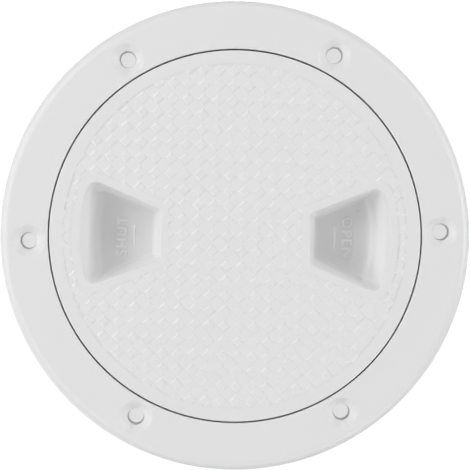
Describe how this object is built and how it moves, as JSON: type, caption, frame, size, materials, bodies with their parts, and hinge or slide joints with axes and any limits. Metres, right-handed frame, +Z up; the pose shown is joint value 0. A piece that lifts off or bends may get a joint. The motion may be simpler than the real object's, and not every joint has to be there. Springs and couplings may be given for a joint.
{
  "type": "deck inspection plate",
  "caption": "Round screw-out deck inspection plate: a countersunk mounting ring with a threaded cover that has finger pockets, a raised lozenge tread and an O-ring seal.",
  "frame": {"origin": "on the plate's axis in the plane of the deck's surface, which is the underside of the flange", "axes": "+Z up out of the deck, +X through the centre of a screw hole"},
  "size_m": [0.1454, 0.1454, 0.02],
  "materials": {
    "ring_plastic": "white moulded plastic, satin",
    "cover_plastic": "white moulded plastic, satin, with a lozenge tread",
    "seal_rubber": "black rubber"
  },
  "bodies": {
    "ring": {"mounting_ring": "ring_plastic"},
    "seal": {"o_ring": "seal_rubber"},
    "cover": {"screw_cover": "cover_plastic"}
  },
  "joints": [
    {"name": "cover_rise", "type": "slide", "parent": "ring", "child": "seal", "axis": [0, 0, 1], "range_m": [0, 0.01]},
    {"name": "cover_turn", "type": "hinge", "parent": "seal", "child": "cover", "pos_m": [0, 0, 0], "axis": [0, 0, 1], "range_deg": [0, 900]}
  ],
  "couplings": [
    {"joint": "cover_rise", "follows": "cover_turn", "m_per_rad": 0.00063662}
  ]
}
